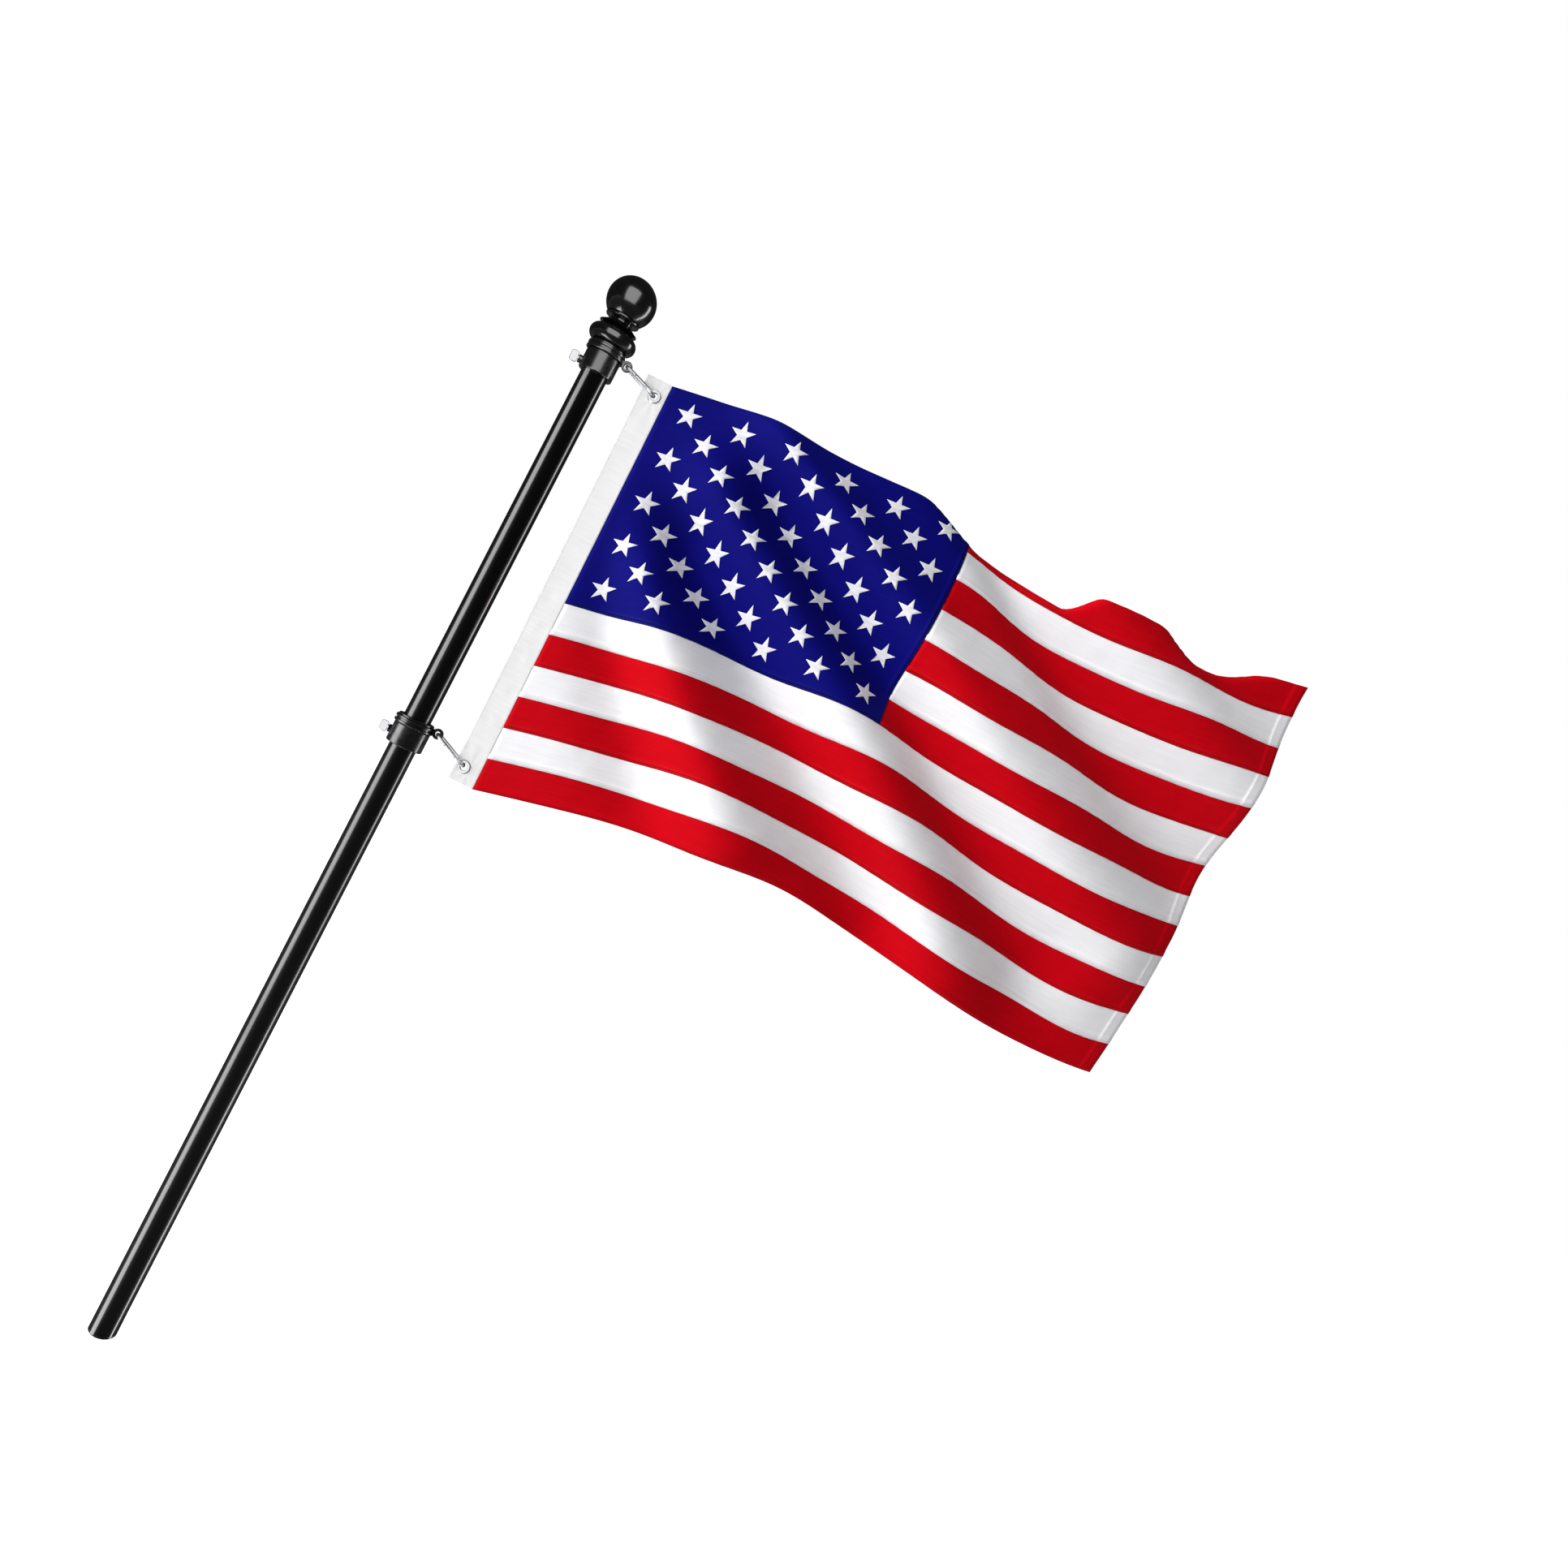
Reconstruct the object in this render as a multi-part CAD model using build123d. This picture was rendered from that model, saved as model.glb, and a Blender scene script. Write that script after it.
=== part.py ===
"""A slim pole with a ball finial and two collars, whose spinning eye rings carry a small flag.

Millimetres. The origin is the middle of the pole's flat butt end, +Z runs up the pole to the
ball, and +X points from the pole to the flag's free edge at rest. The flag waves along Y.
"""
import os
from math import asin, cos, degrees, exp, pi, sin

from build123d import *

# Pole and butt plug
pole_length = 1092.0  # butt face to the top of the ball
pole_od = 25.4
pole_wall = 1.4
plug_flange = 3.0
plug_spigot = 22.0
plug_wall = 2.0
spigot_fit = 0.1
edge_round = 0.6

# Finial: a ball on a turned neck of disc, waist and cone, above a bead that caps the pole
ball_d = 46.6
disc_drop = 39.8  # ball top to the disc's upper face
disc_d = 33.0
disc_t = 3.3
waist_d = 20.6
waist_h = 2.4
cone_d = 37.0
cone_h = 4.6
cone_rim = 0.9
undercut_h = 2.9
bead_d = 45.7
bead_t = 15.9
finial_spigot = 30.0
finial_bore_d = 12.0

# Collars: the barrel is clamped on the pole, and the ring turns on the neck above it
collar_fit = 0.1
neck_d = 29.4
lip_gap = 0.2  # finial bead to the upper lip
upper_barrel_h = 19.4
upper_barrel_d = 32.8
lower_collar_rise = 10.7  # lower grommet up to the top of the lower barrel
lower_barrel_h = 19.4
lower_barrel_d = 34.2
lip_t = 1.6
lip_d = 34.0

# Spinning rings
ring_fit = 0.1  # radial running clearance on the neck
ring_play = 0.3  # axial play at each face of a ring
ring_h = 6.8
ring_d = 37.0
groove_depth = 1.1
rib_h = 2.2
eye_od = 10.4
eye_hole = 5.4
eye_t = 3.0
eye_round = 0.9
eye_reach = 23.3  # pole axis to the middle of the eye
upper_eye_rise = 0.9  # barrel top to the middle of the eye
lower_eye_rise = 5.0
lug_t = 3.0

# Thumbscrews, on the side away from the flag and turned a little to the front
screw_angle = 196.0  # degrees about +Z from +X
boss_d = 7.6
boss_reach = 19.2
screw_d = 4.0
screw_fit = 0.1
shoulder_d = 5.6
shoulder_t = 1.2
spade_w = 10.6
spade_l = 7.2
spade_t = 2.2
spade_round = 2.4
upper_screw_drop = 13.4  # barrel top to the screw's axis
lower_screw_drop = 9.6

# Spring clips: a wire loop through each eye and each grommet, square to the flag
wire_d = 3.4
clip_small_r = 4.6
clip_large_r = 6.2
gate_start = 9.5  # from the small bow's crown, along the clip
gate_length = 18.0
gate_gap = 0.3
gate_pin_d = 1.3
tang_t = 1.2
tang_l = 3.2
slot_fit = 0.15
clip_seat = 0.3  # the wire's distance from the edge it bears on

# Flag: canvas header, canton and thirteen stripes, sewn edge to edge
hoist = 416.0
fly = 693.0  # header seam to fly hem
stripe_count = 13
canton_stripes = 7
canton_fly = 316.0
cloth_t = 0.8
seam_gap = 0.3
flag_rise = 4.3  # upper barrel's top to the flag's top edge
seam_x = 69.0
seam_slope = 6.0  # how much further out the seam is at the bottom
header_w = 25.0
header_t = 1.4
grommet_x = 58.5
grommet_od = 12.8
grommet_hole = 6.6
grommet_barrel = 0.6
grommet_t = 3.2
upper_grommet_drop = 16.4
lower_grommet_rise = 15.2  # from the flag's bottom edge

# The wind in the flag. Each wave turns the cloth out of its plane, and sways it up and down:
# turn in radians at the top edge, what it gains by the bottom edge, wave length, lean of the
# crests, phase, sway in radians, and how far the sway runs ahead
waves = [
    (0.13, 0.26, 217.0, -0.96, -1.33, -0.031, -0.88),
    (-0.16, 0.05, 357.0, -1.93, 0.98, -0.013, 2.36),
    (0.01, -0.04, 144.0, -1.46, 3.77, -0.036, -1.11),
]
wave_twist = -0.26  # how much more the crests lean by the fly end
wave_rise = 90.0  # distance from the seam over which the waves grow
top_lift = (0.18, -0.98, 1.36, -0.32)  # rise of the top edge in radians, as a cubic along the fly
bottom_lift = (0.25, 0.10, -2.74, 2.57)
top_swing = (0.03, 0.17)  # turn away from the viewer, at the seam and gained by the fly end
bottom_swing = (-0.04, 0.31)
curl_at = 400.0  # where the top edge curls back, along the fly
curl_half = 62.0
curl_turn = 1.45
cloth_step = 7.0
normal_step = 1.0
stripe_columns = 26
canton_columns = 14
curl_bands = 4

# What follows from the sizes above
pole_r = pole_od / 2
bore_r = pole_r - pole_wall
ball_r = ball_d / 2
neck_r = neck_d / 2
stripe_w = hoist / stripe_count
disc_top = pole_length - disc_drop
cone_top = disc_top - disc_t - waist_h
bead_top = cone_top - cone_h - cone_rim - undercut_h
tube_top = bead_top - bead_t
neck_h = ring_h + 2 * ring_play
clip_wire_r = wire_d / 2
upper_barrel_top = tube_top - lip_gap - lip_t - neck_h
flag_top = upper_barrel_top + flag_rise
lower_grommet_drop = hoist - lower_grommet_rise
lower_barrel_top = flag_top - lower_grommet_drop + lower_collar_rise
curl_drop = stripe_w  # the top stripe curls back


def turned(*points):
    """A solid of revolution about +Z from (radius, height) corners."""
    return revolve(make_face(Plane.XZ * Polyline(*points, close=True)), Axis.Z)


def pole_tube():
    """Drawn tube, open at both ends."""
    height = tube_top - plug_flange
    ring = Circle(pole_r) - Circle(bore_r)
    return Pos(0, 0, plug_flange) * extrude(ring, height)


def butt_plug():
    """Moulded plug: a flange flush with the tube and a hollow spigot inside it."""
    spigot_r = bore_r - spigot_fit
    top = plug_flange + plug_spigot
    return turned(
        (0, 0), (pole_r - edge_round, 0), (pole_r, edge_round), (pole_r, plug_flange),
        (spigot_r, plug_flange), (spigot_r, top), (spigot_r - plug_wall, top),
        (spigot_r - plug_wall, plug_flange), (0, plug_flange),
    )


def finial_ball():
    """Ball, cut flat where it seats on the disc."""
    ball = Pos(0, 0, pole_length - ball_r) * Sphere(ball_r)
    below = Pos(0, 0, disc_top - ball_d) * Box(2 * ball_d, 2 * ball_d, 2 * ball_d)
    return ball - below


def finial_neck():
    """Turned neck: thin disc, waist, and a cone whose rim is undercut."""
    disc_r, waist_r, cone_r = disc_d / 2, waist_d / 2, cone_d / 2
    disc_low = disc_top - disc_t
    rim_top = cone_top - cone_h
    outline = Line((0, disc_top), (disc_r - disc_t / 2, disc_top))
    outline += ThreePointArc(
        (disc_r - disc_t / 2, disc_top), (disc_r, disc_top - disc_t / 2), (disc_r - disc_t / 2, disc_low)
    )
    outline += Polyline(
        (disc_r - disc_t / 2, disc_low), (waist_r + edge_round, disc_low), (waist_r, disc_low - edge_round),
        (waist_r, cone_top), (cone_r - cone_rim, rim_top), (cone_r, rim_top - cone_rim / 2),
        (cone_r - cone_rim, rim_top - cone_rim), (waist_r, bead_top), (0, bead_top), (0, disc_top),
    )
    return revolve(make_face(Plane.XZ * outline), Axis.Z)


def finial_bead():
    """Fat bead that caps the tube, with a hollow spigot down inside it."""
    half = bead_t / 2
    crown = bead_d / 2 - half
    spigot_r = bore_r - spigot_fit
    spigot_low = tube_top - finial_spigot
    outline = Line((0, bead_top), (crown, bead_top))
    outline += ThreePointArc((crown, bead_top), (bead_d / 2, bead_top - half), (crown, tube_top))
    outline += Polyline(
        (crown, tube_top), (spigot_r, tube_top), (spigot_r, spigot_low),
        (finial_bore_d / 2, spigot_low), (finial_bore_d / 2, tube_top), (0, tube_top), (0, bead_top),
    )
    return revolve(make_face(Plane.XZ * outline), Axis.Z)


def collar(barrel_top, barrel_h, barrel_d, screw_drop):
    """Barrel with a screw boss, and the plain neck above it for the ring."""
    inner, outer = pole_r + collar_fit, barrel_d / 2
    low = barrel_top - barrel_h
    body = turned(
        (inner, low), (outer - edge_round, low), (outer, low + edge_round),
        (outer, barrel_top - edge_round), (outer - edge_round, barrel_top),
        (neck_r, barrel_top), (neck_r, barrel_top + neck_h), (inner, barrel_top + neck_h),
    )
    to_screw = Pos(0, 0, barrel_top - screw_drop) * Rot(0, 0, screw_angle) * Rot(0, 90, 0)
    boss = to_screw * Pos(0, 0, inner) * extrude(Circle(boss_d / 2), boss_reach - inner)
    hole = to_screw * extrude(Circle(screw_d / 2 + screw_fit), 2 * boss_reach)
    bore = Pos(0, 0, low) * extrude(Circle(inner), barrel_h + neck_h)
    return body + boss - hole - bore


def retaining_lip(barrel_top):
    """Snap ring that keeps the spinning ring on the collar's neck."""
    low = barrel_top + neck_h
    inner, outer = pole_r + collar_fit, lip_d / 2
    return turned(
        (inner, low), (outer, low), (outer, low + lip_t - edge_round),
        (outer - edge_round, low + lip_t), (inner, low + lip_t),
    )


def thumbscrew(barrel_top, screw_drop):
    """Shank against the pole, a shoulder, and a flat spade to turn it by."""
    tip = pole_r + screw_fit / 2
    shank = Pos(0, 0, tip) * extrude(Circle(screw_d / 2), boss_reach + shoulder_t - tip)
    shoulder = Pos(0, 0, boss_reach + screw_fit) * extrude(Circle(shoulder_d / 2), shoulder_t)
    spade_start = boss_reach + screw_fit + shoulder_t - edge_round
    outline = Pos(0, 0) * RectangleRounded(spade_w, spade_l, spade_round)
    plate = Pos(0, spade_t / 2, spade_start + spade_l / 2) * (Rot(90, 0, 0) * extrude(outline, spade_t))
    screw = shank + shoulder + fillet_edges(plate, edge_round)
    to_screw = Pos(0, 0, barrel_top - screw_drop) * Rot(0, 0, screw_angle) * Rot(0, 90, 0)
    return to_screw * screw


def fillet_edges(solid, radius):
    """Round the two faces' outlines of a flat plate."""
    flats = solid.faces().sort_by(SortBy.AREA)[-2:]
    return fillet([edge for face in flats for edge in face.edges()], radius)


def eye_ring(barrel_top, eye_rise):
    """Ribbed ring that turns on the neck, with the eye for the clip on its flag side."""
    low = barrel_top + ring_play
    high = low + ring_h
    inner, rib_r = neck_r + ring_fit, ring_d / 2
    groove_r = rib_r - groove_depth
    ring = turned(
        (inner, low), (rib_r - groove_depth / 2, low), (rib_r, low + rib_h / 4),
        (rib_r, low + rib_h), (groove_r, low + rib_h + groove_depth / 2),
        (groove_r, high - rib_h - groove_depth / 2), (rib_r, high - rib_h),
        (rib_r, high - rib_h / 4), (rib_r - groove_depth / 2, high), (inner, high),
    )
    eye_z = barrel_top + eye_rise
    blank = Rot(90, 0, 0) * Cylinder(eye_od / 2, eye_t)
    blank = fillet(blank.edges(), eye_round)
    eye_place = Pos(eye_reach, 0, eye_z)
    lug_out = eye_reach - eye_hole / 2 - edge_round
    lug_in = rib_r - groove_depth - edge_round
    lug_low = max(low, eye_z - eye_od / 3)
    lug_high = min(high, eye_z + eye_od / 3)
    lug = Pos((lug_in + lug_out) / 2, 0, (lug_low + lug_high) / 2) * Box(
        lug_out - lug_in, lug_t, lug_high - lug_low
    )
    hole = eye_place * (Rot(90, 0, 0) * Cylinder(eye_hole / 2, 2 * eye_t))
    return ring + eye_place * blank + lug - hole


def crown_clearance(hole_d, plate_t, bow_r):
    """How far a bow's crown can shift from a hole's middle before the wire nears its edge."""
    bow_drop = bow_r - (bow_r**2 - (plate_t / 2) ** 2) ** 0.5
    return hole_d / 2 - clip_wire_r - bow_drop - clip_seat


def clip_frame(barrel_top, eye_rise, grommet_drop):
    """Place of a clip: its crown in the eye, its length towards the grommet, its width along Y.

    The cloth pulls the clip tight, so each crown lies near the edge of its hole.
    """
    eye = Vector(eye_reach, 0, barrel_top + eye_rise)
    hole = Vector(grommet_x, 0, flag_top - grommet_drop)
    run = (hole - eye).normalized()
    start = eye + run * crown_clearance(eye_hole, eye_t, clip_small_r)
    end = hole - run * crown_clearance(grommet_hole, grommet_t, clip_large_r)
    return Plane(origin=start, x_dir=run, z_dir=run.cross(Vector(0, 1, 0))), (end - start).length


def clip_outline(length):
    """Corners of the wire's path: where the straight legs meet the two bows."""
    span = length - clip_small_r - clip_large_r
    lean = asin((clip_large_r - clip_small_r) / span)
    small = Vector(clip_small_r * (1 - sin(lean)), clip_small_r * cos(lean))
    large = Vector(length - clip_large_r - clip_large_r * sin(lean), clip_large_r * cos(lean))
    return small, large, lean


def on_leg(small, large, distance):
    """Point on the front leg at a distance along the clip, and the leg's direction."""
    share = (distance - small.X) / (large.X - small.X)
    return Vector(distance, -(small.Y + share * (large.Y - small.Y)))


def spring_clip(barrel_top, eye_rise, grommet_drop):
    """Bent wire body, open on the front leg where the gate closes it, with the gate's tang."""
    place, length = clip_frame(barrel_top, eye_rise, grommet_drop)
    small, large, lean = clip_outline(length)
    first = on_leg(small, large, gate_start)
    last = on_leg(small, large, gate_start + gate_length)
    path = Line(first, (small.X, -small.Y))
    path += ThreePointArc((small.X, -small.Y), (0, 0), (small.X, small.Y))
    path += Line((small.X, small.Y), (large.X, large.Y))
    path += ThreePointArc((large.X, large.Y), (length, 0), (large.X, -large.Y))
    path += Line((large.X, -large.Y), last)
    wire = sweep(Plane(origin=first, z_dir=path % 0) * Circle(clip_wire_r), path)
    tang = Pos(tang_l / 2 - tang_t, 0, 0) * Box(tang_l + 2 * tang_t, wire_d * 0.8, tang_t)
    tang -= Pos(tang_l / 2, 0, 0) * Cylinder(gate_pin_d / 2 + slot_fit, wire_d)
    body = wire + Pos(first.X, first.Y) * Rot(0, 0, -degrees(lean)) * tang
    return place * body


def clip_gate(barrel_top, eye_rise, grommet_drop):
    """Straight wire gate, forked over the tang and pinned to it."""
    place, length = clip_frame(barrel_top, eye_rise, grommet_drop)
    small, large, lean = clip_outline(length)
    first = on_leg(small, large, gate_start)
    run = gate_length / cos(lean) - 2 * gate_gap
    bar = Rot(0, 90, 0) * extrude(Circle(clip_wire_r), run)
    bar = fillet(bar.edges(), edge_round / 2)
    slot = Pos(tang_l / 2, 0, 0) * Box(tang_l + 2 * tang_t, 2 * wire_d, tang_t + 2 * slot_fit)
    bar = Pos(gate_gap, 0, 0) * bar - slot
    pin = Pos(tang_l / 2, 0, 0) * Cylinder(gate_pin_d / 2, wire_d)
    return place * Pos(first.X, first.Y) * Rot(0, 0, -degrees(lean)) * (bar + pin)


def grommet(grommet_drop):
    """Rolled eyelet: a short barrel through the canvas between two rounded flanges."""
    hole_r, outer_r = grommet_hole / 2, grommet_od / 2
    flange_t = (grommet_t - header_t) / 2 - seam_gap / 2
    web = header_t / 2 + seam_gap / 2
    half = grommet_t / 2
    section = Polyline(
        (hole_r, -half + flange_t / 2), (hole_r + flange_t / 2, -half), (outer_r - flange_t, -half),
        (outer_r, -web), (hole_r + grommet_barrel, -web), (hole_r + grommet_barrel, web),
        (outer_r, web), (outer_r - flange_t, half), (hole_r + flange_t / 2, half),
        (hole_r, half - flange_t / 2), close=True,
    )
    ring = revolve(make_face(Plane.XZ * section), Axis.Z)
    return Pos(grommet_x, 0, flag_top - grommet_drop) * (Rot(90, 0, 0) * ring)


def seam_at(drop):
    """X of the seam between header and flag, at a distance below the top edge."""
    return seam_x + seam_slope * drop / hoist


def flag_header():
    """Flat canvas strip with the two grommet holes."""
    outline = Polyline(
        (seam_at(0) - header_w, flag_top), (seam_at(0), flag_top),
        (seam_at(hoist), flag_top - hoist), (seam_at(hoist) - header_w, flag_top - hoist), close=True,
    )
    strip = extrude(make_face(Plane.XZ * outline), header_t / 2, both=True)
    for drop in (upper_grommet_drop, lower_grommet_drop):
        hole = Rot(90, 0, 0) * Cylinder(grommet_hole / 2 + grommet_barrel + seam_gap / 3, 4 * header_t)
        strip -= Pos(grommet_x, 0, flag_top - drop) * hole
    return strip


def cubic(top, bottom, along, drop):
    """A polynomial along the fly, blended from the top edge's to the bottom edge's."""
    share, fall = along / fly, drop / hoist
    return sum((high + (low - high) * fall) * share**i for i, (high, low) in enumerate(zip(top, bottom)))


def cloth_angles(along, drop):
    """How far the cloth's weft points out of the flag's plane, and how far above square."""
    grown = 1 - exp(-((along / wave_rise) ** 1.5))
    turn = cubic(top_swing, bottom_swing, along, drop)
    lift = 0.0
    for size, growth, length, lean, phase, sway, ahead in waves:
        angle = 2 * pi * (along + lean * drop + wave_twist * along * drop / fly) / length + phase
        turn += (size + growth * drop / hoist) * sin(angle)
        lift += sway * sin(angle + ahead)
    return turn * grown, lift * grown + cubic(top_lift, bottom_lift, along, drop)


def curled(along, drop):
    """Shift back and down where the top edge curls away from the wind."""
    turn = curl_turn * exp(-(((along - curl_at) / curl_half) ** 2)) + 1e-6
    height, radius = max(curl_drop - drop, 0.0), curl_drop / turn
    angle = height / radius
    return radius * (1 - cos(angle)), radius * sin(angle) - height


def cloth_row(drop, start, end, count):
    """Points of the cloth at even distances from the seam, at one distance below the top."""
    wanted = [start + (end - start) * i / (count - 1) for i in range(count)]
    x, y, z, along = seam_at(drop), 0.0, flag_top - drop, 0.0
    points = []
    for target in wanted:
        steps = max(1, round((target - along) / cloth_step))
        step = (target - along) / steps
        for _ in range(steps):
            turn, lift = cloth_angles(along + step / 2, drop)
            x += step * cos(turn) * cos(lift)
            y += step * sin(turn)
            z += step * cos(turn) * sin(lift)
            along += step
        shift_y, shift_z = curled(along, drop)
        points.append(Vector(x, y + shift_y, z + shift_z))
    return points


def cloth_faces_at(drop, start, end, columns):
    """Front and back points of the cloth along one line square to the hoist."""
    row = cloth_row(drop, start, end, columns)
    above = cloth_row(drop - normal_step, start, end, columns)
    front, back = [], []
    for i, point in enumerate(row):
        weft = row[min(i + 1, columns - 1)] - row[max(i - 1, 0)]
        offset = weft.cross(point - above[i]).normalized() * (cloth_t / 2)
        front.append(point - offset)
        back.append(point + offset)
    return front, back


def ruled(first, second):
    """Ruled face between two edges."""
    return Face.make_surface_from_curves(first, second)


def cloth(drops, start, end, columns):
    """A sewn piece of the flag: ruled bands between drops, closed along all four edges."""
    lines = [cloth_faces_at(drop, start, end, columns) for drop in drops]
    fronts = [Edge.make_spline(front) for front, back in lines]
    backs = [Edge.make_spline(back) for front, back in lines]
    faces = [ruled(fronts[0], backs[0]), ruled(fronts[-1], backs[-1])]
    for i in range(len(drops) - 1):
        faces.append(ruled(fronts[i], fronts[i + 1]))
        faces.append(ruled(backs[i], backs[i + 1]))
        for side in (0, -1):
            front_edge = Edge.make_line(lines[i][0][side], lines[i + 1][0][side])
            back_edge = Edge.make_line(lines[i][1][side], lines[i + 1][1][side])
            faces.append(ruled(front_edge, back_edge))
    return Solid(Shell(faces))


def canton():
    """Blue field beside the header, seven stripes deep."""
    drops = [curl_drop * i / curl_bands for i in range(curl_bands)]
    drops += [i * stripe_w for i in range(canton_stripes) if i * stripe_w >= curl_drop - seam_gap]
    drops.append(canton_stripes * stripe_w - seam_gap)
    return cloth(drops, seam_gap, canton_fly, canton_columns)


def stripe(number):
    """One sewn stripe. The upper seven start at the canton and the rest at the header."""
    top = (number - 1) * stripe_w
    bottom = number * stripe_w - (seam_gap if number < stripe_count else 0)
    drops = [top, bottom]
    if top < curl_drop:
        drops = [top + (bottom - top) * i / curl_bands for i in range(curl_bands + 1)]
    if number <= canton_stripes:
        return cloth(drops, canton_fly + seam_gap, fly, canton_columns)
    return cloth(drops, seam_gap, fly, stripe_columns)


upper = (upper_barrel_top, upper_eye_rise, upper_grommet_drop)
lower = (lower_barrel_top, lower_eye_rise, lower_grommet_drop)

nodes = {
    "pole_tube": pole_tube(),
    "butt_plug": butt_plug(),
    "finial_ball": finial_ball(),
    "finial_neck": finial_neck(),
    "finial_bead": finial_bead(),
    "upper_collar": collar(upper_barrel_top, upper_barrel_h, upper_barrel_d, upper_screw_drop),
    "lower_collar": collar(lower_barrel_top, lower_barrel_h, lower_barrel_d, lower_screw_drop),
    "upper_retaining_lip": retaining_lip(upper_barrel_top),
    "lower_retaining_lip": retaining_lip(lower_barrel_top),
    "upper_thumbscrew": thumbscrew(upper_barrel_top, upper_screw_drop),
    "lower_thumbscrew": thumbscrew(lower_barrel_top, lower_screw_drop),
    "upper_eye_ring": eye_ring(upper_barrel_top, upper_eye_rise),
    "lower_eye_ring": eye_ring(lower_barrel_top, lower_eye_rise),
    "upper_clip": spring_clip(*upper),
    "lower_clip": spring_clip(*lower),
    "upper_clip_gate": clip_gate(*upper),
    "lower_clip_gate": clip_gate(*lower),
    "upper_grommet": grommet(upper_grommet_drop),
    "lower_grommet": grommet(lower_grommet_drop),
    "flag_header": flag_header(),
    "flag_canton": canton(),
}
for number in range(1, stripe_count + 1):
    nodes[f"stripe_{number:02d}"] = stripe(number)

os.makedirs("parts", exist_ok=True)
for name, solid in nodes.items():
    export_step(solid, f"parts/{name}.step")
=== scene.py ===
"""Looks for a slim black flagpole with a ball finial, two spinning rings and a waving flag.

Metres, in the part's own frame: +Z runs up the pole from its butt, +X points to the flag's fly.
"""

from math import atan2, cos, pi, radians, sin

import bmesh
import bpy
import numpy as np
from mathutils import Matrix, Vector


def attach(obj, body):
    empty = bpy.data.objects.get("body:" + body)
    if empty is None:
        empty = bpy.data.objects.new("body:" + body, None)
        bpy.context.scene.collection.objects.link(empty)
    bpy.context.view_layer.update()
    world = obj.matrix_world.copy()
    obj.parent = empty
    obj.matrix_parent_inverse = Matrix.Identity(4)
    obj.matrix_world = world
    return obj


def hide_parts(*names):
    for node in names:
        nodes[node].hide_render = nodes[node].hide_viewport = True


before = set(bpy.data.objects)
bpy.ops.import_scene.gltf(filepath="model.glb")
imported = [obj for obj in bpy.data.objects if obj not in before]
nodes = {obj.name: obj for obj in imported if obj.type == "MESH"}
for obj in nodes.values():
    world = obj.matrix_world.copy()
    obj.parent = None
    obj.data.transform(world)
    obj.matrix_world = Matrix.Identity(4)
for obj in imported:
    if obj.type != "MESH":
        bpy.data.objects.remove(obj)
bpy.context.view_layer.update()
MM = 0.001


# Camera. It stands square to the flag's plane, a metre off, level with the middle of the flag,
# and is rolled so that the pole leans to the right as it does from a sloping wall bracket.
image_px = 1932
mm_per_px = 0.75  # in the plane of the pole
camera_distance = 1050 * MM
aim = Vector((328.8, 0, 737.7)) * MM
pole_lean = radians(27.24)
sensor_mm = 36

camera_data = bpy.data.cameras.new("camera")
camera = bpy.data.objects.new("camera", camera_data)
bpy.context.scene.collection.objects.link(camera)
camera_data.sensor_width = sensor_mm
camera_data.lens = sensor_mm * camera_distance / (image_px * mm_per_px * MM)
camera_data.clip_start = 10 * MM
right = Vector((cos(pole_lean), 0, sin(pole_lean)))
up = Vector((-sin(pole_lean), 0, cos(pole_lean)))
back = right.cross(up)
camera.matrix_world = Matrix.Translation(aim + back * camera_distance) @ Matrix(
    (right, up, back)
).transposed().to_4x4()
bpy.context.scene.camera = camera
bpy.context.scene.view_settings.view_transform = "Standard"


def colour(hex_value):
    """Linear RGBA of an sRGB hex colour."""
    channels = []
    for shift in (16, 8, 0):
        share = ((hex_value >> shift) & 255) / 255
        channels.append(share / 12.92 if share <= 0.04045 else ((share + 0.055) / 1.055) ** 2.4)
    return (*channels, 1.0)


def add_node(tree, kind, settings=None, **links):
    """One shader node, with its settings and with values or other nodes' outputs on its inputs."""
    node = tree.nodes.new(kind)
    for name, value in (settings or {}).items():
        setattr(node, name, value)
    for name, value in links.items():
        socket = node.inputs[int(name[1:])] if name[0] == "i" and name[1:].isdigit() else (
            node.inputs[name.replace("_", " ")]
        )
        if isinstance(value, bpy.types.NodeSocket):
            tree.links.new(value, socket)
        else:
            socket.default_value = value
    return node


def new_material(name):
    """An empty material with its output node."""
    material = bpy.data.materials.new(name)
    material.use_nodes = True
    tree = material.node_tree
    tree.nodes.clear()
    return material, tree, tree.nodes.new("ShaderNodeOutputMaterial")


# Studio. A white sweep without a visible edge, a broad soft box at the left that shades the
# flag's waves, and a weaker one behind. The gloss black and the wire mirror boxes of their own,
# tall ones beside the pole, a window before the finial and a front one, and are dim elsewhere.
world = bpy.data.worlds.new("studio")
bpy.context.scene.world = world
world.use_nodes = True
tree = world.node_tree
tree.nodes.clear()
rays = add_node(tree, "ShaderNodeLightPath")
backdrop = add_node(tree, "ShaderNodeMath", {"operation": "MAXIMUM"}, i0=rays.outputs["Is Camera Ray"],
                    i1=rays.outputs["Is Transmission Ray"])
fill = add_node(tree, "ShaderNodeBackground", Color=colour(0xFFFFFF), Strength=0.36)
mirrored = add_node(tree, "ShaderNodeBackground", Color=colour(0xFFFFFF), Strength=0.04)
white = add_node(tree, "ShaderNodeBackground", Color=colour(0xFFFFFF), Strength=1.0)
glossy = add_node(tree, "ShaderNodeMixShader", i0=rays.outputs["Is Glossy Ray"],
                  i1=fill.outputs[0], i2=mirrored.outputs[0])
seen = add_node(tree, "ShaderNodeMixShader", i0=backdrop.outputs[0],
                i1=glossy.outputs[0], i2=white.outputs[0])
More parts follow.
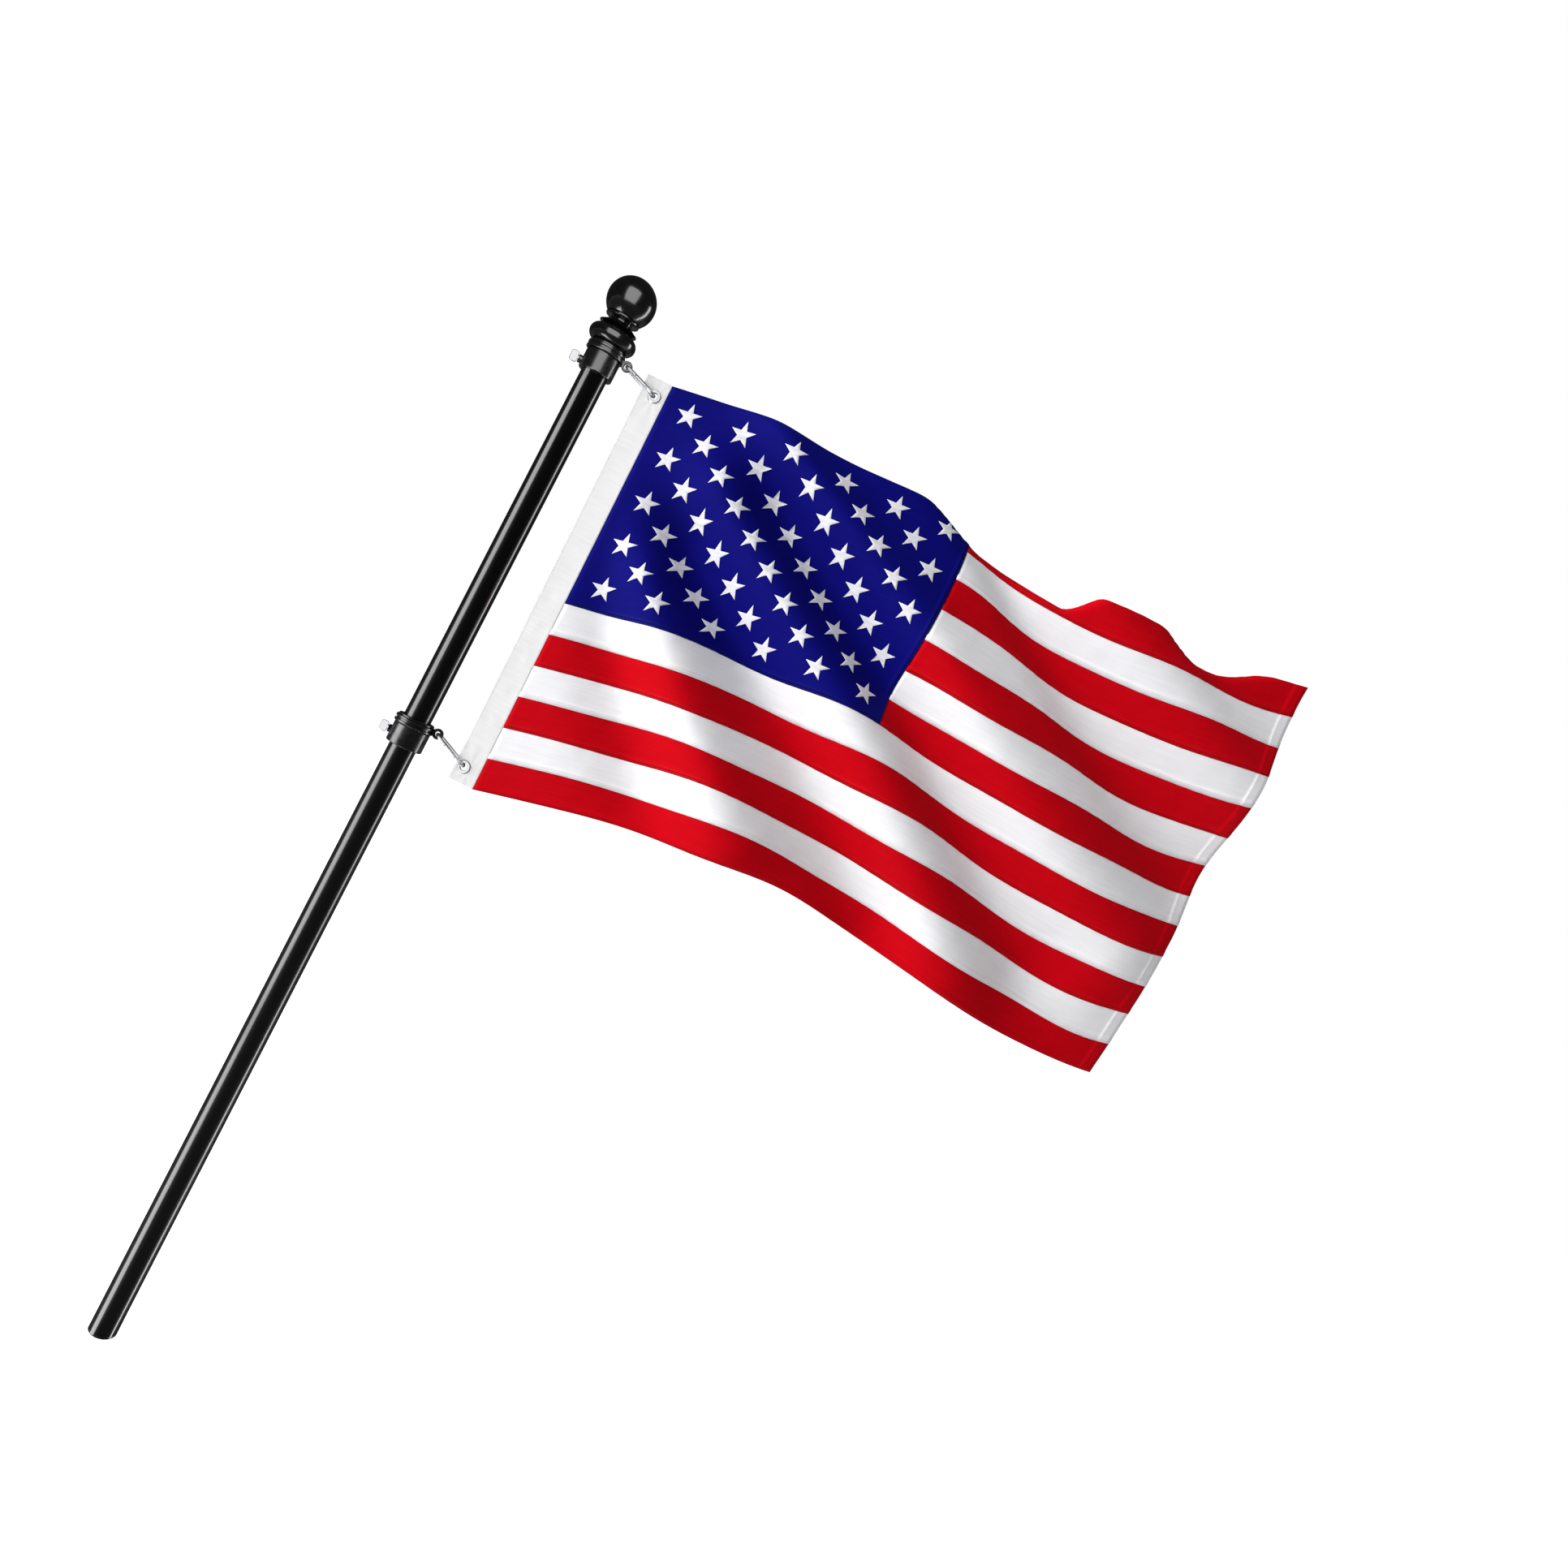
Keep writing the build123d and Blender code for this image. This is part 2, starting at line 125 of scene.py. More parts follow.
tree.links.new(seen.outputs[0], tree.nodes.new("ShaderNodeOutputWorld").inputs[0])


def soft_box(name, place, target, width, height, watts):
    """A rectangular area lamp that faces its target."""
    data = bpy.data.lights.new(name, "AREA")
    data.shape = "RECTANGLE"
    data.size, data.size_y, data.energy = width, height, watts
    lamp = bpy.data.objects.new(name, data)
    bpy.context.scene.collection.objects.link(lamp)
    lamp.location = place
    lamp.rotation_euler = (Vector(target) - Vector(place)).to_track_quat("-Z", "Y").to_euler()
    return lamp


def light_on(lamp, names, state="INCLUDE"):
    """Keep a lamp's light to some of the CAD nodes, unshaded by the rest, or keep it off them."""
    linked = bpy.data.collections.new(lamp.name + "_linked")
    for name in names:
        linked.objects.link(nodes[name])
    for member in linked.collection_objects:
        member.light_linking.link_state = state
    lamp.light_linking.receiver_collection = linked
    if state == "INCLUDE":
        lamp.light_linking.blocker_collection = linked


finial = ("finial_ball", "finial_neck", "finial_bead")
upper_fitting = ("upper_collar", "upper_retaining_lip", "upper_eye_ring")
lower_fitting = ("lower_collar", "lower_retaining_lip", "lower_eye_ring")
bright_metal = ("upper_clip", "lower_clip", "upper_clip_gate", "lower_clip_gate", "upper_grommet",
                "lower_grommet", "upper_thumbscrew", "lower_thumbscrew")
black_parts = ("pole_tube", "butt_plug", *finial, *upper_fitting, *lower_fitting)
flag_middle = (0.35, 0, 0.8)
key = soft_box("key", (-6.4, -3.2, 1.6), flag_middle, width=5.0, height=5.0, watts=920)
light_on(key, (*black_parts, *bright_metal), "EXCLUDE")
rear = soft_box("rear", (1.5, 5.0, 1.8), flag_middle, width=3.0, height=3.0, watts=150)
light_on(rear, (*black_parts, *bright_metal), "EXCLUDE")
streak = soft_box("streak", (-0.73, -0.52, 0.29), (0, 0, 0.29), width=0.62, height=1.9, watts=34)
light_on(streak, ("pole_tube", "butt_plug", *lower_fitting))
edge = soft_box("edge", (1.62, 0.52, 0.22), (0, 0, 0.22), width=0.3, height=2.9, watts=31)
light_on(edge, black_parts)
window = soft_box("window", (0.11, -1.05, 1.37), (0, 0, 1.06), width=1.2, height=1.4, watts=28)
light_on(window, (*finial, *upper_fitting))
front = soft_box("front", (0.15, -1.2, 0.95), (0, 0, 0.85), width=2.4, height=2.4, watts=21)
light_on(front, bright_metal)

floor_size = 12.0
card_start = 12.9  # mm from the pole's axis, just clear of the tube
card_height = 1.0  # mm above the floor
mesh = bpy.data.meshes.new("floor")
build = bmesh.new()
bmesh.ops.create_grid(build, x_segments=1, y_segments=1, size=floor_size / 2)
build.to_mesh(mesh)
build.free()
floor = bpy.data.objects.new("floor", mesh)
bpy.context.scene.collection.objects.link(floor)
material, tree, output = new_material("white sweep")
rays = add_node(tree, "ShaderNodeLightPath")
paint = add_node(tree, "ShaderNodeBsdfDiffuse", Color=colour(0xEDEDED))
dim = add_node(tree, "ShaderNodeBsdfDiffuse", Color=colour(0x6A6A6A))
glow = add_node(tree, "ShaderNodeEmission", Color=colour(0xFFFFFF), Strength=0.85)
lit = add_node(tree, "ShaderNodeAddShader", i0=paint.outputs[0], i1=glow.outputs[0])
mirrored = add_node(tree, "ShaderNodeMixShader", i0=rays.outputs["Is Glossy Ray"],
                    i1=paint.outputs[0], i2=dim.outputs[0])
shown = add_node(tree, "ShaderNodeMixShader", i0=rays.outputs["Is Camera Ray"],
                 i1=mirrored.outputs[0], i2=lit.outputs[0])
tree.links.new(shown.outputs[0], output.inputs[0])
mesh.materials.append(material)


def floor_card(name, near, far, reach, strength):
    """A glowing card on the floor that carries a soft box's mirror image on down to the butt.

    near and far are the pole's bearings at which the image begins and ends, from the camera's.
    """
    to_camera = atan2(-camera_distance, aim.x)
    outline = []
    for bearing, length in ((near, 0), (near, reach), (far, reach), (far, 0)):
        foot = Vector((cos(to_camera + bearing), sin(to_camera + bearing), 0)) * card_start * MM
        away = Vector((cos(to_camera + 2 * bearing), sin(to_camera + 2 * bearing), 0))
        outline.append(foot + away * length + Vector((0, 0, card_height * MM)))
    mesh = bpy.data.meshes.new(name)
    build = bmesh.new()
    build.faces.new([build.verts.new(corner) for corner in outline])
    build.to_mesh(mesh)
    build.free()
    card = bpy.data.objects.new(name, mesh)
    bpy.context.scene.collection.objects.link(card)
    material, tree, output = new_material(name + " glow")
    glow = add_node(tree, "ShaderNodeEmission", Color=colour(0xFFFFFF), Strength=strength)
    tree.links.new(glow.outputs[0], output.inputs[0])
    mesh.materials.append(material)
    card.visible_camera = card.visible_diffuse = card.visible_shadow = False


floor_card("streak_card", radians(-26.5), radians(-45.5), reach=0.86, strength=9.2)
floor_card("edge_card", radians(42.5), radians(47.5), reach=1.6, strength=11.3)


def dress(node, material):
    """Give a CAD node its material."""
    slots = nodes[node].material_slots
    if not len(slots):
        nodes[node].data.materials.append(material)
    for slot in slots:
        slot.material = material


# Pole. A drawn aluminium tube with baked gloss black paint: deep, with a faint orange peel
# and a few fine rub marks that run along the tube, where brackets and hands have slid on it.
material, tree, output = new_material("gloss black baked paint")
place = add_node(tree, "ShaderNodeTexCoord")
peel = add_node(tree, "ShaderNodeTexNoise", Vector=place.outputs["Object"], Scale=260.0, Detail=1.0)
rubbed = add_node(tree, "ShaderNodeMapping", Vector=place.outputs["Object"], Scale=(900.0, 900.0, 6.0))
marks = add_node(tree, "ShaderNodeTexNoise", Vector=rubbed.outputs[0], Scale=1.0, Detail=3.0)
rough = add_node(tree, "ShaderNodeMapRange", Value=marks.outputs[0], From_Min=0.35, From_Max=0.75,
                 To_Min=0.17, To_Max=0.25)
bump = add_node(tree, "ShaderNodeBump", Height=peel.outputs[0], Strength=0.02, Distance=0.0004)
paint = add_node(tree, "ShaderNodeBsdfPrincipled", Base_Color=colour(0x030304), IOR=1.5,
                 Roughness=rough.outputs[0], Normal=bump.outputs[0])
tree.links.new(paint.outputs[0], output.inputs[0])
dress("pole_tube", material)


# Finial. Ball and neck are injection mouldings in gloss black, polished in the mould, so they
# are smoother than the paint, with a slight sink and flow waviness on the ball.
material, tree, output = new_material("gloss black moulding")
place = add_node(tree, "ShaderNodeTexCoord")
flow = add_node(tree, "ShaderNodeTexNoise", Vector=place.outputs["Object"], Scale=60.0, Detail=1.0)
bump = add_node(tree, "ShaderNodeBump", Height=flow.outputs[0], Strength=0.04, Distance=0.001)
dust = add_node(tree, "ShaderNodeTexNoise", Vector=place.outputs["Object"], Scale=900.0, Detail=4.0)
rough = add_node(tree, "ShaderNodeMapRange", Value=dust.outputs[0], From_Min=0.4, From_Max=0.8,
                 To_Min=0.15, To_Max=0.25)
moulding = add_node(tree, "ShaderNodeBsdfPrincipled", Base_Color=colour(0x060607), IOR=1.53,
                    Roughness=rough.outputs[0], Normal=bump.outputs[0])
tree.links.new(moulding.outputs[0], output.inputs[0])
for node in finial:
    dress(node, material)


# Collars and rings. Glass-filled nylon mouldings, black, with a satin skin from the mould's
# fine spark-eroded texture, and slightly polished where the rings rub.
material, tree, output = new_material("satin black nylon")
place = add_node(tree, "ShaderNodeTexCoord")
grain = add_node(tree, "ShaderNodeTexNoise", Vector=place.outputs["Object"], Scale=1400.0, Detail=2.0)
bump = add_node(tree, "ShaderNodeBump", Height=grain.outputs[0], Strength=0.12, Distance=0.0002)
patches = add_node(tree, "ShaderNodeTexNoise", Vector=place.outputs["Object"], Scale=140.0, Detail=3.0)
rough = add_node(tree, "ShaderNodeMapRange", Value=patches.outputs[0], From_Min=0.35, From_Max=0.7,
                 To_Min=0.2, To_Max=0.34)
nylon = add_node(tree, "ShaderNodeBsdfPrincipled", Base_Color=colour(0x0C0C0D), IOR=1.53,
                 Roughness=rough.outputs[0], Normal=bump.outputs[0])
tree.links.new(nylon.outputs[0], output.inputs[0])
for node in ("butt_plug", *upper_fitting, *lower_fitting):
    dress(node, material)


# Screws, clips and grommets. Stainless wire and die-cast zinc with bright nickel plate, with
# drawing lines too fine to see and a soft clouding from handling.
material, tree, output = new_material("bright plated steel")
place = add_node(tree, "ShaderNodeTexCoord")
cloud = add_node(tree, "ShaderNodeTexNoise", Vector=place.outputs["Object"], Scale=300.0, Detail=3.0)
rough = add_node(tree, "ShaderNodeMapRange", Value=cloud.outputs[0], From_Min=0.3, From_Max=0.7,
                 To_Min=0.26, To_Max=0.4)
metal = add_node(tree, "ShaderNodeBsdfPrincipled", Base_Color=colour(0xDCDDE0), Metallic=1.0,
                 Roughness=rough.outputs[0])
tree.links.new(metal.outputs[0], output.inputs[0])
for node in bright_metal:
    dress(node, material)


# The flag's lie. Long leaning waves draw the cloth in and lift it, folds that fan out from the
# upper eyelet give it its depth, and parts of its top edge roll over to the back. It is cut
# flat, in millimetres from the header seam and the top edge, and then laid into that shape.
hoist = 416.0
fly = 693.0
stripe_count = 13
stripe_w = hoist / stripe_count
canton_stripes = 7
canton_fly = 316.0
canton_foot = -canton_stripes * stripe_w
flag_top = 1017.3
seam_x = 69.0  # of the header seam at the top, from the pole's axis, and how far it leans out
seam_slope = 6.0
grommet_x = 58.5
grommet_drops = (16.4, 400.8)
waves = [  # swing at the top edge, its growth downward, length, lean, phase, lift and its lead
    (0.13, 0.26, 217.0, -0.96, -1.33, -0.031, -0.88),
    (-0.16, 0.05, 357.0, -1.93, 0.98, -0.013, 2.36),
    (0.01, -0.04, 144.0, -1.46, 3.77, -0.036, -1.11),
]
wave_twist = -0.26
wave_rise = 90.0
top_lift = (0.18, -0.98, 1.36, -0.32)
bottom_lift = (0.25, 0.10, -2.74, 2.57)
top_swing = (0.03, 0.17)
bottom_swing = (-0.04, 0.31)
rolls = [  # along the fly: start, full from, full to, end; then depth
    (235, 335, 422, 462, 31),
    (505, 574, 582, 680, 25),
]
roll_turn = 2.2
roll_r = 7.0
drawn_up = 10.0  # at the canton's corner, by the cloth that is rolled away
drawn_along, drawn_down = 75.0, 150.0  # how far that reaches
folds = [  # from and to, along the fly and down the hoist, half width at each, rise to the viewer
    ((6, 184), (138, 366), 30, 40, -12),
    ((60, 190), (240, 396), 30, 42, 20),
    ((84, 143), (400, 390), 28, 46, -23),
    ((96, 87), (504, 396), 28, 50, 18),
    ((150, 80), (564, 341), 26, 50, -17),
    ((130, 20), (648, 287), 22, 50, 20),
    ((340, 20), (680, 202), 26, 42, -18),
    ((470, 0), (684, 111), 30, 40, 18),
]
fold_fade = 60.0  # how far a fold runs out beyond its ends
lie_step = 3.0  # spacing of the worked-out points along the fly, and then down the hoist
lie_drop = 4.0
lie_margin = 30.0
rows_above = 3
seam_gather = 0.16  # heights of the small unevenness: along the seams, all over the cloth, at the
unrest = 0.14  # header's stitches and round the eyelets
header_gather = 0.14
eyelet_pull = 0.22

along = np.arange(-lie_margin, fly + 3 * lie_step, lie_step)[None, :]
drop = np.arange(-rows_above * lie_drop, hoist + rows_above * lie_drop, lie_drop)[:, None]
fall = drop / hoist


def cubic(top, bottom, share):
    """A polynomial along the fly, blended from the top edge's to the bottom edge's."""
    return sum((high + (low - high) * fall) * share**power
               for power, (high, low) in enumerate(zip(top, bottom)))


middle = np.clip(along + lie_step / 2, 0, None)
grown = 1 - np.exp(-((middle / wave_rise) ** 1.5))
swing = cubic(top_swing, bottom_swing, middle / fly)
turn = swing
lift = 0.0
for size, growth, length, lean, phase, sway, ahead in waves:
    angle = 2 * pi * (middle + lean * drop + wave_twist * middle * drop / fly) / length + phase
    turn = turn + (size + growth * fall) * np.sin(angle)
    lift = lift + sway * np.sin(angle + ahead)
turn = turn * grown
lift = lift * grown + cubic(top_lift, bottom_lift, middle / fly)
on_header = along < -lie_step / 2
weft = np.stack(np.broadcast_arrays(
    np.where(on_header, 1.0, np.cos(turn) * np.cos(lift)),
    np.where(on_header, 0.0, np.sin(swing * grown)),
    np.where(on_header, 0.0, np.cos(turn) * np.sin(lift)),
), axis=2)
lie = np.zeros_like(weft)
lie[:, 1:] = np.cumsum(weft[:, :-1], axis=1) * lie_step
at_seam = round(lie_margin / lie_step)
lie -= lie[:, at_seam:at_seam + 1].copy()
lie[:, :, 0] += seam_x + seam_slope * fall
lie[:, :, 2] += flag_top - drop
held = 1 - np.exp(-((np.clip(along, 0, None) / (wave_rise / 2)) ** 1.5))
for start, end, start_width, end_width, rise in folds:
    run = Vector(end) - Vector(start)
    share = ((along - start[0]) * run.x + (drop - start[1]) * run.y) / run.length_squared
    beside = ((along - start[0]) * run.y - (drop - start[1]) * run.x) / run.length
    beyond = (np.clip(-share, 0, None) + np.clip(share - 1, 0, None)) * run.length
    width = start_width + (end_width - start_width) * np.clip(share, 0, 1)
    lie[:, :, 1] -= rise * held * np.exp(-((beside / width) ** 2) - (beyond / fold_fade) ** 2)
turned = 0.0
for start, full, still_full, end, depth in rolls:
    begun = np.clip((along - start) / (full - start), 0, 1)
    ended = np.clip((along - still_full) / (end - still_full), 0, 1)
    turned = turned + depth * (3 * begun**2 - 2 * begun**3) * (1 - 3 * ended**2 + 2 * ended**3)
rolled = np.clip(turned - drop, 0, None)
bent = np.minimum(rolled, roll_r * roll_turn)
lie[:, :, 1] += (1 - np.cos(bent / roll_r)) * roll_r + (rolled - bent) * sin(roll_turn)
lie[:, :, 2] += np.sin(bent / roll_r) * roll_r + (rolled - bent) * cos(roll_turn) - rolled
near_corner = ((along - canton_fly) / drawn_along) ** 2
lie[:, :, 2] += drawn_up * np.exp(-near_corner - (np.clip(drop, 0, None) / drawn_down) ** 2)


def spline_weights(place):
    """Index and weights of the four points round each place on a smooth curve, with their slopes."""
    index = np.clip(np.floor(place).astype(int), 1, None)
    t = (place - index)[:, None]
    value = np.hstack([-t + 2 * t**2 - t**3, 2 - 5 * t**2 + 3 * t**3,
                       t + 4 * t**2 - 3 * t**3, t**3 - t**2]) / 2
    slope = np.hstack([-1 + 4 * t - 3 * t**2, 9 * t**2 - 10 * t,
                       1 + 8 * t - 9 * t**2, 3 * t**2 - 2 * t]) / 2
    return index, value, slope


def pucker(x, y):
    """Small unevenness of sewn cloth: gathers along the seams and tension folds from the eyelets."""
    to_seam = np.abs((-y + stripe_w / 2) % stripe_w - stripe_w / 2)
    seamed = (y < canton_foot + 3) | (x > canton_fly)
    ripple = np.sin(x / 2.6 + 1.7 * np.sin(y / 11) + 1.3 * np.sin(x / 31))
    gather = seamed * seam_gather * ripple * np.exp(-to_seam / 5)
    gather += unrest * np.sin(x / 7.3 + y / 19) * np.sin(y / 9.1 - x / 23)
    header = header_gather * np.sin(y / 3.1 + 1.1 * np.sin(y / 17)) * np.exp(-np.abs(x - 1) / 7)
    pulled = 0.0
    for grommet_drop in grommet_drops:
        aside, above = x - (grommet_x - seam_x), y + grommet_drop
        reach = np.hypot(aside, above)
        rays = eyelet_pull * np.sin(11 * np.arctan2(above, aside) + 0.8)
        pulled = pulled + rays * np.exp(-reach / 26) * (1 - np.exp(-reach / 9))
    return gather + header + pulled


def waved(flat):
    """Places in the flying flag of flat work, in metres."""
    x, y, height = flat.T
    i, across, across_slope = spline_weights((x + lie_margin) / lie_step)
    j, down, down_slope = spline_weights(-y / lie_drop + rows_above)
    four = np.arange(-1, 3)
    near = lie[j[:, None, None] + four[None, :, None], i[:, None, None] + four]
    place = np.einsum("nj,ni,njik->nk", down, across, near)
    outward = np.cross(np.einsum("nj,ni,njik->nk", down, across_slope, near),
                       -np.einsum("nj,ni,njik->nk", down_slope, across, near))
    outward /= np.linalg.norm(outward, axis=1)[:, None]
    return (place + outward * (height + pucker(x, y))[:, None]) * MM


def lay(build, name, material, thickness=0.0):
    """Turn flat work into a piece of the flag, with its UV map in metres of flat cloth."""
    cut = build.loops.layers.uv.new("cut")
    for face in build.faces:
        face.smooth = True
        for loop in face.loops:
            loop[cut].uv = loop.vert.co.xy * MM
    mesh = bpy.data.meshes.new(name)
    build.to_mesh(mesh)
    build.free()
    flat = np.empty(len(mesh.vertices) * 3)
    mesh.vertices.foreach_get("co", flat)
    mesh.vertices.foreach_set("co", waved(flat.reshape(-1, 3)).ravel())
    mesh.update()
    mesh.materials.append(material)
    piece = bpy.data.objects.new(name, mesh)
    bpy.context.scene.collection.objects.link(piece)
    if thickness:
        solid = piece.modifiers.new("thickness", "SOLIDIFY")
        solid.thickness, solid.offset = thickness * MM, 0
    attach(piece, "flag")
    return piece


def flat_grid(build, low, high, step):
    """A grid of square-ish cells over a flat rectangle."""
    size = Vector(high) - Vector(low)
    place = Matrix.Translation(((low[0] + high[0]) / 2, (low[1] + high[1]) / 2, 0)) @ Matrix.Diagonal(
        (size.x, size.y, 1, 1)
    )
    bmesh.ops.create_grid(build, x_segments=max(1, round(size.x / step)),
                          y_segments=max(1, round(size.y / step)), size=0.5, matrix=place)


def fold_line(build, point, normal):
    """A row of edges where a hem or a seam allowance ends."""
    bmesh.ops.bisect_plane(build, geom=build.verts[:] + build.edges[:] + build.faces[:],
                           plane_co=point, plane_no=normal, dist=0.0001)


def woven(name, hex_value, shade_hex, thread_mm, sheen, roughness=0.62, shine=0.2):
    """Plain-weave cloth: two sets of threads in relief, with slubs and a slightly uneven dye."""
    material, tree, output = new_material(name)
    place = add_node(tree, "ShaderNodeTexCoord")
    threads = 1000 / thread_mm * 2 * pi / 20  # a wave texture has one band to each 2 pi / 20
    warp = add_node(tree, "ShaderNodeTexWave", {"bands_direction": "X"}, Vector=place.outputs["UV"],
                    Scale=threads, Distortion=1.2, Detail=1.0, Detail_Scale=0.6)
    weft = add_node(tree, "ShaderNodeTexWave", {"bands_direction": "Y"}, Vector=place.outputs["UV"],
                    Scale=threads, Distortion=1.2, Detail=1.0, Detail_Scale=0.6)
    weave = add_node(tree, "ShaderNodeMath", {"operation": "MULTIPLY"}, i0=warp.outputs["Fac"],
                     i1=weft.outputs["Fac"])
    stretched = add_node(tree, "ShaderNodeMapping", Vector=place.outputs["UV"], Scale=(30.0, 420.0, 1.0))
    slub = add_node(tree, "ShaderNodeTexNoise", Vector=stretched.outputs[0], Scale=1.0, Detail=3.0)
    dye = add_node(tree, "ShaderNodeMapRange", Value=slub.outputs[0], From_Min=0.3, From_Max=0.7)
    tint = add_node(tree, "ShaderNodeMix", {"data_type": "RGBA"}, i0=dye.outputs[0],
                    i6=colour(hex_value), i7=colour(shade_hex))
    height = add_node(tree, "ShaderNodeMath", {"operation": "MULTIPLY_ADD"}, i0=slub.outputs[0],
                      i1=0.3, i2=weave.outputs[0])
    bump = add_node(tree, "ShaderNodeBump", Height=height.outputs[0], Strength=0.2, Distance=0.00012)
    cloth = add_node(tree, "ShaderNodeBsdfPrincipled", Base_Color=tint.outputs[2], Roughness=roughness,
                     Specular_IOR_Level=shine, Sheen_Weight=sheen, Sheen_Roughness=0.4,
                     Normal=bump.outputs[0])
    tree.links.new(cloth.outputs[0], output.inputs[0])
    return material


# Flag header. A doubled strip of white cotton duck, folded over the hoist end of the flag and
# stitched down, with the two eyelets set through it. Its long edges are folds, so they are round.
header_w = 25.0
header_t = 1.1
header_fold = 1.6
header_round = 0.4
header_step = 1.25
barrel_r = 5.0  # of an eyelet, where it passes through the canvas
duck = woven("white cotton duck", 0xEEEEEE, 0xE8E8E8, 1.3, 0.0, roughness=0.9)
build = bmesh.new()
flat_grid(build, (-header_w, -hoist), (0, 0), header_step)
for x in (-header_w + header_fold, -header_fold):
    fold_line(build, (x, 0, 0), (1, 0, 0))
covered = []
for grommet_drop in grommet_drops:
    centre = Vector((grommet_x - seam_x - seam_slope * grommet_drop / hoist, -grommet_drop))
    covered += [face for face in build.faces
                if (face.calc_center_median().xy - centre).length < barrel_r]
bmesh.ops.delete(build, geom=covered, context="FACES")
header = lay(build, "header_canvas", duck, header_t)
soften = header.modifiers.new("folded edges", "BEVEL")
soften.width, soften.segments = header_round * MM, 2
soften.limit_method, soften.angle_limit = "ANGLE", radians(60)
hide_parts("flag_header")


# Stripes. Red and white woven polyester strips. Each is turned under 5 mm along its lower edge
# and felled over the next, and the fly ends are turned in 12 mm and hemmed as one.
seam_allowance = 5.0
fly_hem = 12.0
cloth_t = 0.35
cloth_step = 4.0
seam_rise = 0.35  # how far a felled seam and a hem stand up, and a tucked edge goes under
hem_rise = 0.4
tuck = 0.1
tuck_w = 0.6
turned_w = 0.5  # width of the slope beside a turned edge
slack = 0.1  # in asking which vertices lie on a turned edge
dyed_red = woven("dyed red polyester", 0xC60012, 0xBC000E, 0.9, 0.0, roughness=0.9, shine=0.06)
plain_white = woven("white polyester", 0xF5F5F7, 0xEFEFF3, 0.9, 0.03)
stripes = []
for number in range(1, stripe_count + 1):
    start = canton_fly if number <= canton_stripes else 0.0
    top, bottom = -(number - 1) * stripe_w, -number * stripe_w
    build = bmesh.new()
    flat_grid(build, (start, bottom), (fly, top), cloth_step)
    for beyond in (0.0, turned_w):
        fold_line(build, (0, bottom + seam_allowance + beyond, 0), (0, 1, 0))
        fold_line(build, (fly - fly_hem - beyond, 0, 0), (1, 0, 0))
    fold_line(build, (0, top - tuck_w, 0), (0, 1, 0))
    for vert in build.verts:
        felled = vert.co.y < bottom + seam_allowance + slack
        hemmed = vert.co.x > fly - fly_hem - slack
        under = vert.co.y > top - slack and number > 1
        vert.co.z = seam_rise * felled + hem_rise * hemmed - tuck * under
    red = number % 2
    stripe = lay(build, f"stripe_cloth_{number:02d}", dyed_red if red else plain_white, cloth_t)
    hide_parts(f"stripe_{number:02d}")
    stripes.append(stripe)


# Canton. A blue panel of the same cloth, seven stripes deep, sewn into the upper hoist corner
# with its edges turned under.
dyed_blue = woven("dyed blue polyester", 0x040476, 0x03036A, 0.9, 0.0, roughness=0.8, shine=0.08)
build = bmesh.new()
flat_grid(build, (0, canton_foot), (canton_fly, 0), cloth_step)
for beyond in (0.0, turned_w):
    fold_line(build, (canton_fly - seam_allowance - beyond, 0, 0), (1, 0, 0))
    fold_line(build, (0, canton_foot + seam_allowance + beyond, 0), (0, 1, 0))
for vert in build.verts:
    felled = vert.co.x > canton_fly - seam_allowance - slack
    felled = felled or vert.co.y < canton_foot + seam_allowance + slack
    vert.co.z = seam_rise * felled
canton = lay(build, "canton_cloth", dyed_blue, cloth_t)
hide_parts("flag_canton")


# Stars. Fifty appliqued white stars, satin-stitched all over, so they stand a thread proud with
# a rounded edge. They are sewn through, and show on both faces of the canton.
star_d = 25.0
star_t = 0.35
star_waist = 0.382  # inner to outer radius of a plain five-pointed star
star_round, star_crown = 0.35, 0.12  # width and height of its rounded edge
star_sunk = 0.05
star_columns, star_rows = 11, 9
one = bmesh.new()
ring = bmesh.ops.create_circle(one, cap_ends=True, segments=10, radius=star_d / 2)["verts"]
for vert in ring:
    bearing = atan2(vert.co.x, vert.co.y)
    if round(bearing / (pi / 5)) % 2:
        vert.co *= star_waist
lifted = bmesh.ops.extrude_face_region(one, geom=one.faces[:])["geom"]
for item in lifted:
    if isinstance(item, bmesh.types.BMVert):
        item.co.z = star_t
cap = [item for item in lifted if isinstance(item, bmesh.types.BMFace)]
bmesh.ops.inset_region(one, faces=cap, thickness=star_round, depth=star_crown)
spread = bmesh.ops.poke(one, faces=cap)["faces"]
spokes = dict.fromkeys(edge for face in spread for edge in face.edges)  # each once, in order
bmesh.ops.subdivide_edges(one, edges=list(spokes), cuts=1, use_grid_fill=True)
bmesh.ops.delete(one, geom=[face for face in one.faces if face.calc_center_median().z < 0.001],
                 context="FACES")
bmesh.ops.recalc_face_normals(one, faces=one.faces[:])
bmesh.ops.translate(one, vec=(0, 0, cloth_t / 2 - star_sunk), verts=one.verts[:])
star = bpy.data.meshes.new("star")
one.to_mesh(star)
one.free()
build = bmesh.new()
for column in range(1, star_columns + 1):
    for row in range(1, star_rows + 1):
        if (column + row) % 2:
            continue
        centre = Vector((column * canton_fly / (star_columns + 1),
                         row * canton_foot / (star_rows + 1), 0))
        for face_turn in (0, pi):
            place = Matrix.Translation(centre) @ Matrix.Rotation(face_turn, 4, "Y")
            star.transform(place)
            build.from_mesh(star)
            star.transform(place.inverted())
thread_white = woven("white embroidery thread", 0xF2F2F6, 0xDCDCE4, 1.1, 0.05, roughness=0.45)
stars = lay(build, "stars", thread_white)


